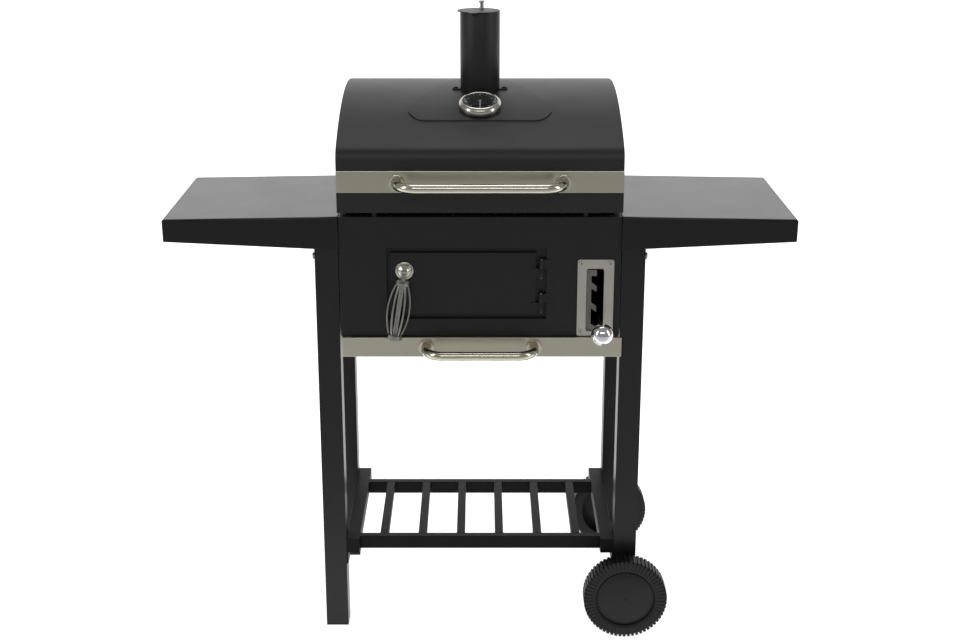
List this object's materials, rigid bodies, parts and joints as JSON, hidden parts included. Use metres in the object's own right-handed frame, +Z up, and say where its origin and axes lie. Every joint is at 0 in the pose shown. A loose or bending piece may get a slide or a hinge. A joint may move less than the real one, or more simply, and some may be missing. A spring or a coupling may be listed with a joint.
{
  "type": "charcoal grill cart",
  "caption": "Cart charcoal grill: sheet-steel firebox with hinged domed lid, chimney, side shelves, bottom rack, ash drawer and wheels on one side.",
  "frame": {"origin": "on the ground under the middle of the grill's overall box", "axes": "+X to the right of someone at the front, -Y towards that person, +Z up"},
  "size_m": [1.0758, 0.5824, 1.1087],
  "materials": {
    "black_paint": "semi-gloss black heat-resistant enamel on sheet steel",
    "lid_paint": "satin black high-temperature paint",
    "stainless": "satin stainless steel",
    "chrome": "polished chrome plate",
    "zinc_steel": "zinc-plated steel",
    "cast_grate": "matt enamelled cast iron",
    "wheel_plastic": "moulded black plastic",
    "plug_plastic": "moulded black plastic",
    "bumper_rubber": "soft black rubber",
    "dial_face": "printed dark dial",
    "needle_paint": "white enamel",
    "gauge_glass": "clear glass"
  },
  "bodies": {
    "cart": {"left_front_leg": "black_paint", "left_rear_leg": "black_paint", "right_front_leg": "black_paint", "right_rear_leg": "black_paint", "leg_plugs": "plug_plastic", "rack_side_rails": "black_paint", "rack_cross_rails": "black_paint", "rack_slats": "black_paint", "rail_brackets": "black_paint", "frame_bolts": "zinc_steel", "axle": "zinc_steel", "firebox_shell": "black_paint", "firebox_front": "black_paint", "firebox_floor": "black_paint", "inner_ledges": "black_paint", "door_hinge_brackets": "black_paint", "door_hinge_pins": "zinc_steel", "height_plate": "stainless", "height_plate_screws": "chrome", "notch_plate": "black_paint", "drawer_runners": "black_paint", "lid_bumpers": "bumper_rubber", "body_hinge_leaves": "lid_paint", "lid_hinge_pins": "zinc_steel", "left_shelf": "black_paint", "right_shelf": "black_paint", "shelf_brackets": "black_paint"},
    "lid": {"lid_shell": "lid_paint", "lid_trim_strip": "stainless", "lid_handle": "stainless", "lid_handle_rosettes": "stainless", "lid_hinge_leaves": "lid_paint", "chimney_pipe": "lid_paint", "chimney_screws": "zinc_steel", "damper_bolt": "zinc_steel", "damper_spring": "zinc_steel", "thermometer_case": "stainless", "thermometer_dial": "dial_face", "thermometer_glass": "gauge_glass", "thermometer_nut": "stainless"},
    "damper": {"damper_disc": "lid_paint"},
    "needle": {"thermometer_needle": "needle_paint"},
    "front_wheel": {"front_wheel": "wheel_plastic", "front_wheel_cap": "wheel_plastic"},
    "rear_wheel": {"rear_wheel": "wheel_plastic", "rear_wheel_cap": "wheel_plastic"},
    "door": {"charging_door": "black_paint", "door_rosette": "chrome"},
    "door_handle": {"door_handle": "chrome", "door_latch": "chrome"},
    "lever": {"height_lever": "black_paint", "lever_knob": "chrome", "lift_shaft": "black_paint"},
    "tray": {"charcoal_tray": "black_paint"},
    "drawer": {"ash_drawer": "black_paint", "ash_drawer_front": "stainless", "ash_drawer_handle": "stainless", "ash_drawer_rosettes": "stainless"},
    "left_grate": {"left_cooking_grate": "cast_grate"},
    "right_grate": {"right_cooking_grate": "cast_grate"}
  },
  "joints": [
    {"name": "lid_hinge", "type": "hinge", "parent": "cart", "child": "lid", "pos_m": [0, 0.28575, 0.77675], "axis": [-1, 0, 0], "range_deg": [0, 88]},
    {"name": "damper_swivel", "type": "hinge", "parent": "lid", "child": "damper", "pos_m": [0.003, 0.01875, 1.094], "axis": [0, 0, 1], "range_deg": [-80, 80]},
    {"name": "gauge_needle", "type": "hinge", "parent": "lid", "child": "needle", "pos_m": [0, -0.09574, 0.94818], "axis": [0, -0.2909, 0.9567], "range_deg": [-270, 0]},
    {"name": "front_wheel_spin", "type": "hinge", "parent": "cart", "child": "front_wheel", "pos_m": [0.262, -0.23825, 0.075], "axis": [0, 1, 0], "continuous": true},
    {"name": "rear_wheel_spin", "type": "hinge", "parent": "cart", "child": "rear_wheel", "pos_m": [0.262, 0.13775, 0.075], "axis": [0, 1, 0], "continuous": true},
    {"name": "door_hinge", "type": "hinge", "parent": "cart", "child": "door", "pos_m": [0.1045, -0.21475, 0.6525], "axis": [0, 0, 1], "range_deg": [0, 110]},
    {"name": "handle_turn", "type": "hinge", "parent": "door", "child": "door_handle", "pos_m": [-0.129, -0.22425, 0.679], "axis": [0, -1, 0], "range_deg": [0, 90]},
    {"name": "lever_lift", "type": "hinge", "parent": "cart", "child": "lever", "pos_m": [0, -0.06225, 0.602], "axis": [-1, 0, 0], "range_deg": [0, 30]},
    {"name": "tray_lift", "type": "slide", "parent": "cart", "child": "tray", "axis": [0, 0, 1], "range_m": [0, 0.0295]},
    {"name": "drawer_slide", "type": "slide", "parent": "cart", "child": "drawer", "axis": [0, -1, 0], "range_m": [0, 0.3]},
    {"name": "left_grate_lift", "type": "slide", "parent": "cart", "child": "left_grate", "axis": [0, 0, 1], "range_m": [0, 0.06]},
    {"name": "right_grate_lift", "type": "slide", "parent": "cart", "child": "right_grate", "axis": [0, 0, 1], "range_m": [0, 0.06]}
  ],
  "couplings": [
    {"joint": "tray_lift", "follows": "lever_lift", "m_per_rad": 0.05577}
  ]
}
